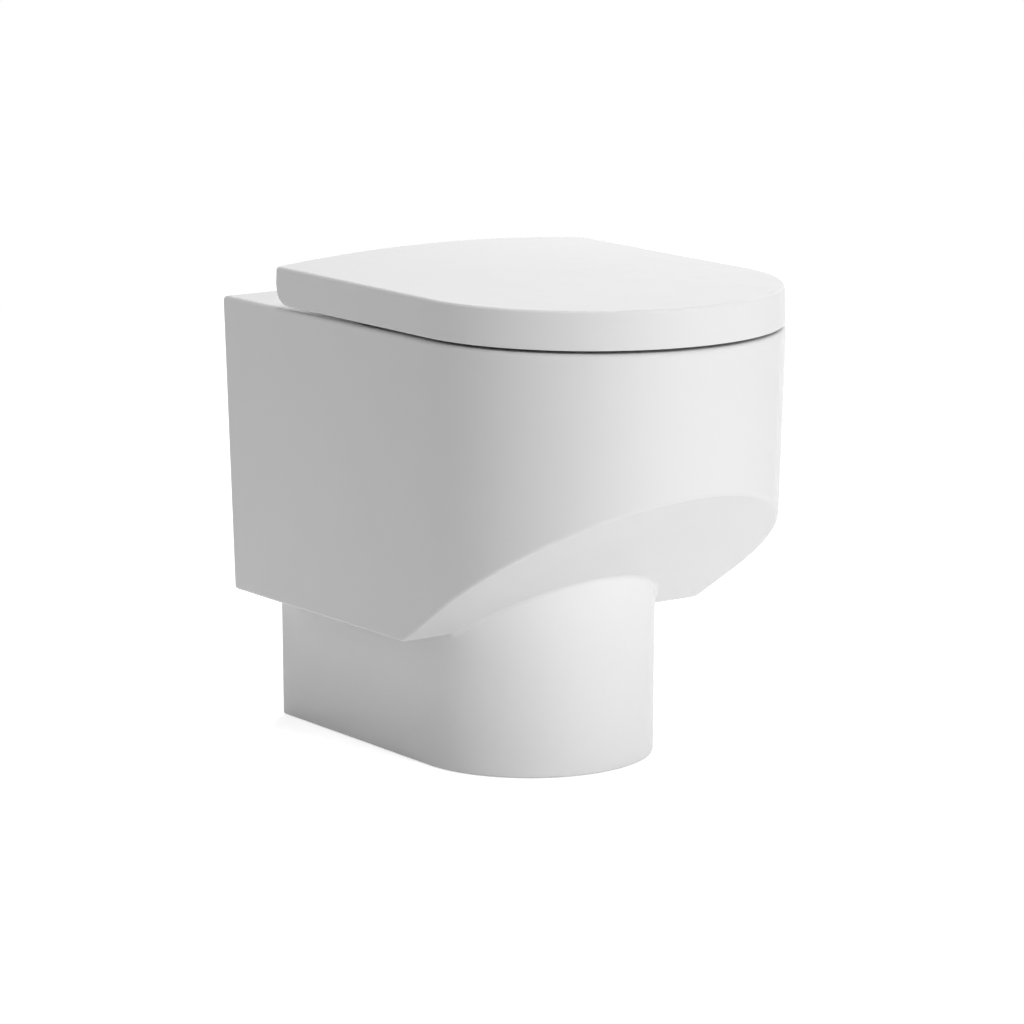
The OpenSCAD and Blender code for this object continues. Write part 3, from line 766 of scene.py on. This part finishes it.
def buildLid():
    shell = lidSolid(0, 0, 0, "seatPlastic")

    def rule(middle, angle):
        if angle < radians(lid["crease"]):
            return 0.0
        if middle.z > lid["top"] - 1:
            atBack = middle.y > lid["backY"] - 1
            return lid["backRound"] / lid["topRound"] if atBack else 1.0
        return lid["hemRound"] / lid["topRound"]

    softenEdges(shell, lid["topRound"], rule, 5)
    inside = lidSolid(lid["skin"], lid["roof"], 2 * past, "seatPlastic")
    for x, y in lid["pads"]:
        for side in (-1, 1):
            carve(inside, rodTool("pad", "Z", *lid["padZ"], (side * x, y), lid["padRadius"], "seatPlastic"))
    carve(shell, inside)
    axis = (lid["axisY"], lid["axisZ"])
    for side in (-1, 1):
        x0, x1 = sorted(side * x for x in lid["notch"])
        z0, z1 = lid["notchZ"]
        carve(shell, boxTool("notch", (x0, lid["axisY"], z0), (x1, lid["notchBack"], z1), "seatPlastic"))
        x0, x1 = sorted(side * x for x in lid["knuckle"])
        knuckle = rodTool("knuckle", "X", x0, x1, axis, lid["knuckleRadius"], "seatPlastic")
        low = (x0, lid["axisY"] - lid["ribHalf"], lid["axisZ"])
        high = (x1, lid["axisY"] + lid["ribHalf"], lid["ribTop"])
        carve(knuckle, boxTool("rib", low, high, "seatPlastic"), "UNION")
        carve(shell, knuckle, "UNION")
    carve(shell, rodTool("bore", "X", *lid["bore"], axis, lid["boreRadius"], "seatPlastic"))
    smoothOver(shell)
    shell.name = "lidShell"
    return shell


lidShell = buildLid()
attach(lidShell, "lid")
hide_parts("lid")
print("lid made", len(lidShell.data.polygons))


# the seat ring
seat = {
    "z": 437, "top": 457, "half": 174, "backY": 132, "corner": 18,
    "front": (110, -85), "rear": (100, -25),  # radius and centre of the opening's two ends
    "sides": 128, "openingDepth": 40, "topRound": 6.5, "hemRound": 2.0, "crease": 30,
    "arm": (48, 66), "armZ": 444, "armLap": 10, "knuckleRadius": 10, "bore": (-180, 180), "boreRadius": 7.5,
}


def buildSeat():
    bm = bmesh.new()
    dBlock(bm, seat["half"], seat["half"], pan["noseY"], seat["backY"], seat["z"], seat["top"])
    uprights = [
        e for e in bm.edges
        if all(v.co.y > (seat["backY"] - 1) * mm for v in e.verts)
        and abs(e.verts[0].co.z - e.verts[1].co.z) > 10 * mm
    ]
    bmesh.ops.bevel(
        bm, geom=uprights, offset=seat["corner"] * mm, offset_type="OFFSET", segments=10, profile=0.5,
        affect="EDGES", material=-1,
    )
    ring = asObject("seat", bm, "seatPlastic")
    bm = bmesh.new()
    for radius, y in (seat["front"], seat["rear"]):
        place = Matrix.Translation(Vector((0, y, (seat["z"] + seat["top"]) / 2)) * mm)
        bmesh.ops.create_cone(
            bm, cap_ends=True, segments=seat["sides"], radius1=radius * mm, radius2=radius * mm,
            depth=seat["openingDepth"] * mm, matrix=place,
        )
    hull = bmesh.ops.convex_hull(bm, input=bm.verts)
    inner = set(hull["geom_interior"] + hull["geom_unused"])
    spare = [v for v in bm.verts if v in inner]
    bmesh.ops.delete(bm, geom=spare, context="VERTS")
    bmesh.ops.dissolve_limit(bm, angle_limit=radians(0.5), verts=bm.verts, edges=bm.edges)
    carve(ring, asObject("opening", bm, "seatPlastic"))

    def rule(middle, angle):
        if angle < radians(seat["crease"]):
            return 0.0
        return 1.0 if middle.z > seat["top"] - 1 else seat["hemRound"] / seat["topRound"]

    softenEdges(ring, seat["topRound"], rule, 6)
    axis = (lid["axisY"], lid["axisZ"])
    for side in (-1, 1):
        x0, x1 = sorted(side * x for x in seat["arm"])
        knuckle = rodTool("knuckle", "X", x0, x1, axis, seat["knuckleRadius"], "seatPlastic")
        low = (x0, seat["backY"] - seat["armLap"], seat["armZ"])
        high = (x1, lid["axisY"], seat["top"])
        carve(knuckle, boxTool("arm", low, high, "seatPlastic"), "UNION")
        carve(ring, knuckle, "UNION")
    carve(ring, rodTool("bore", "X", *seat["bore"], axis, seat["boreRadius"], "seatPlastic"))
    refillFlats(ring, (seat["z"], seat["top"]))
    smoothOver(ring)
    ring.name = "seatRing"
    return ring


seatRing = buildSeat()
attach(seatRing, "seat")
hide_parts("seat_ring")
print("seat made", len(seatRing.data.polygons))


# the fittings keep their exact places, with their edges eased
easing = {"flat": 1, "edge": 40, "sharp": 45, "segments": 3}  # the first three in degrees
fittings = {  # CAD node: piece name, body, finish, slot, edge width
    "flush_distributor": ("flushDistributor", "pan_body", "whitePlastic", "white_plastic", 0.8),
    "inlet_seal": ("inletSeal", "pan_body", "blackRubber", "black_rubber", 1.2),
    "floor_sleeves": ("floorSleeves", "pan_body", "whitePlastic", "white_plastic", 0.6),
    "gasket_left": ("gasketLeft", "pan_body", "blackRubber", "black_rubber", 0.25),
    "gasket_right": ("gasketRight", "pan_body", "blackRubber", "black_rubber", 0.25),
    "base_plate_left": ("basePlateLeft", "pan_body", "chrome", "chrome", 0.8),
    "base_plate_right": ("basePlateRight", "pan_body", "chrome", "chrome", 0.8),
    "fixing_stud_left": ("fixingStudLeft", "pan_body", "zincSteel", "steel", 0.4),
    "fixing_stud_right": ("fixingStudRight", "pan_body", "zincSteel", "steel", 0.4),
    "expanding_plug_left": ("expandingPlugLeft", "pan_body", "blackRubber", "black_rubber", 0.6),
    "expanding_plug_right": ("expandingPlugRight", "pan_body", "blackRubber", "black_rubber", 0.6),
    "plug_nut_left": ("plugNutLeft", "pan_body", "zincSteel", "steel", 0.4),
    "plug_nut_right": ("plugNutRight", "pan_body", "zincSteel", "steel", 0.4),
    "hinge_post_left": ("hingePostLeft", "hinge_carrier", "chrome", "chrome", 1.4),
    "hinge_post_right": ("hingePostRight", "hinge_carrier", "chrome", "chrome", 1.4),
    "hinge_pin_left": ("hingePinLeft", "hinge_carrier", "zincSteel", "steel", 0.6),
    "hinge_pin_right": ("hingePinRight", "hinge_carrier", "zincSteel", "steel", 0.6),
    "release_button_left": ("releaseButtonLeft", "button_left", "greyPlastic", "grey_plastic", 0.9),
    "release_button_right": ("releaseButtonRight", "button_right", "greyPlastic", "grey_plastic", 0.9),
    "seat_buffers": ("seatBuffers", "seat", "greyRubber", "grey_rubber", 1.6),
    "seat_damper": ("seatDamper", "seat", "greyPlastic", "grey_plastic", 0.4),
    "seat_bush": ("seatBush", "seat", "whitePlastic", "white_plastic", 0.4),
    "lid_buffers": ("lidBuffers", "lid", "greyRubber", "grey_rubber", 1.4),
    "lid_damper": ("lidDamper", "lid", "greyPlastic", "grey_plastic", 0.4),
    "lid_bush": ("lidBush", "lid", "whitePlastic", "white_plastic", 0.4),
}


def easedCopy(node, name, finish, width):
    bm = bmesh.new()
    bm.from_mesh(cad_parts[node].data)
    bmesh.ops.remove_doubles(bm, verts=bm.verts, dist=welds["cadCopy"])
    bmesh.ops.dissolve_limit(bm, angle_limit=radians(easing["flat"]), verts=bm.verts, edges=bm.edges)
    mesh = bpy.data.meshes.new(name)
    bm.to_mesh(mesh)
    bm.free()
    mesh.materials.clear()
    mesh.materials.append(materials[finish])
    obj = bpy.data.objects.new(name, mesh)
    scene.collection.objects.link(obj)
    modifier = obj.modifiers.new("ease", "BEVEL")
    modifier.limit_method = "ANGLE"
    modifier.angle_limit = radians(easing["edge"])
    modifier.width = width * mm
    modifier.segments = easing["segments"]
    modifier.profile = 0.5
    settle(obj)
    return smoothOver(obj, easing["sharp"])


for node, (name, body, finish, slot, width) in fittings.items():
    piece = easedCopy(node, name, finish, width)
    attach(piece, body)
    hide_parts(node)
print("fittings made", len(fittings))


# the floor, the world and the lamps; places and sizes are in metres
studio = {
    "floor": (0.95, 0.95, 0.95), "floorHalf": 2.8, "floorDrop": 0.0006, "glow": 0.6, "mirroredGlow": 0.12,
    "world": (0.08, 0.08, 0.08),
    "lamps": [  # name, place, aims at, size, watts
        ("front", (0.4, -4.0, 1.6), (0, 0, 0.25), 2.4, 106),
        ("overhead", (0.2, -0.2, 3.4), (0, 0, 0.3), 2.6, 41),
        ("leftBack", (-2.8, 2.6, 1.6), (0, 0, 0.25), 2.0, 28),
        ("backRight", (3.0, 2.6, 2.6), (0, 0, 0.3), 2.4, 95),
    ],
}


def whiteToCamera(tree, base):
    # what the camera and reflections see is white; the light on the object stays as it is
    nodes, links = tree.nodes, tree.links
    path = nodes.new("ShaderNodeLightPath")
    seen = nodes.new("ShaderNodeMath")
    seen.operation = "MAXIMUM"
    seenThrough = nodes.new("ShaderNodeMath")
    seenThrough.operation = "MAXIMUM"
    white = nodes.new("ShaderNodeBackground")
    white.inputs["Color"].default_value = (1, 1, 1, 1)
    mix = nodes.new("ShaderNodeMixShader")
    links.new(path.outputs["Is Camera Ray"], seen.inputs[0])
    links.new(path.outputs["Is Glossy Ray"], seen.inputs[1])
    links.new(seen.outputs["Value"], seenThrough.inputs[0])
    links.new(path.outputs["Is Transmission Ray"], seenThrough.inputs[1])
    links.new(seenThrough.outputs["Value"], mix.inputs["Fac"])
    links.new(base.outputs[0], mix.inputs[1])
    links.new(white.outputs[0], mix.inputs[2])
    return mix


def glowShare(tree):
    # how much the floor glows for each kind of ray: the light on the object is left alone
    nodes, links = tree.nodes, tree.links
    path = nodes.new("ShaderNodeLightPath")
    inPicture = nodes.new("ShaderNodeMath")
    inPicture.operation = "MULTIPLY"
    inPicture.inputs[1].default_value = studio["glow"]
    mirrored = nodes.new("ShaderNodeMath")
    mirrored.operation = "MAXIMUM"
    total = nodes.new("ShaderNodeMath")
    total.operation = "MULTIPLY_ADD"
    total.inputs[1].default_value = studio["mirroredGlow"]
    links.new(path.outputs["Is Camera Ray"], inPicture.inputs[0])
    links.new(path.outputs["Is Glossy Ray"], mirrored.inputs[0])
    links.new(path.outputs["Is Transmission Ray"], mirrored.inputs[1])
    links.new(mirrored.outputs["Value"], total.inputs[0])
    links.new(inPicture.outputs["Value"], total.inputs[2])
    return total


def buildStudio():
    world = bpy.data.worlds.new("studioWorld")
    scene.world = world
    world.use_nodes = True
    tree = world.node_tree
    soft = tree.nodes["Background"]
    soft.inputs["Color"].default_value = (*studio["world"], 1)
    tree.links.new(whiteToCamera(tree, soft).outputs[0], tree.nodes["World Output"].inputs["Surface"])

    bm = bmesh.new()
    bmesh.ops.create_grid(bm, x_segments=2, y_segments=2, size=studio["floorHalf"])
    bmesh.ops.translate(bm, verts=bm.verts, vec=(0, 0, -studio["floorDrop"]))
    mesh = bpy.data.meshes.new("floor")
    bm.to_mesh(mesh)
    bm.free()
    floor = bpy.data.objects.new("floor", mesh)
    scene.collection.objects.link(floor)
    material = bpy.data.materials.new("paleFloor")
    material.use_nodes = True
    tree = material.node_tree
    tree.nodes.remove(tree.nodes["Principled BSDF"])
    matt = tree.nodes.new("ShaderNodeBsdfDiffuse")
    matt.inputs["Color"].default_value = (*studio["floor"], 1)
    glow = tree.nodes.new("ShaderNodeEmission")
    both = tree.nodes.new("ShaderNodeAddShader")
    tree.links.new(glowShare(tree).outputs["Value"], glow.inputs["Strength"])
    tree.links.new(matt.outputs[0], both.inputs[0])
    tree.links.new(glow.outputs[0], both.inputs[1])
    tree.links.new(both.outputs[0], tree.nodes["Material Output"].inputs["Surface"])
    mesh.materials.append(material)

    for name, place, aim, size, watts in studio["lamps"]:
        data = bpy.data.lights.new(name, "AREA")
        data.shape = "DISK"
        data.size = size
        data.energy = watts
        lamp = bpy.data.objects.new(name, data)
        lamp.visible_glossy = False  # the glaze in the photograph shows no lamp
        lamp.location = place
        lamp.rotation_mode = "QUATERNION"
        lamp.rotation_quaternion = (Vector(aim) - Vector(place)).to_track_quat("-Z", "Y")
        scene.collection.objects.link(lamp)


buildStudio()
scene.view_settings.view_transform = "Standard"
print("studio made")
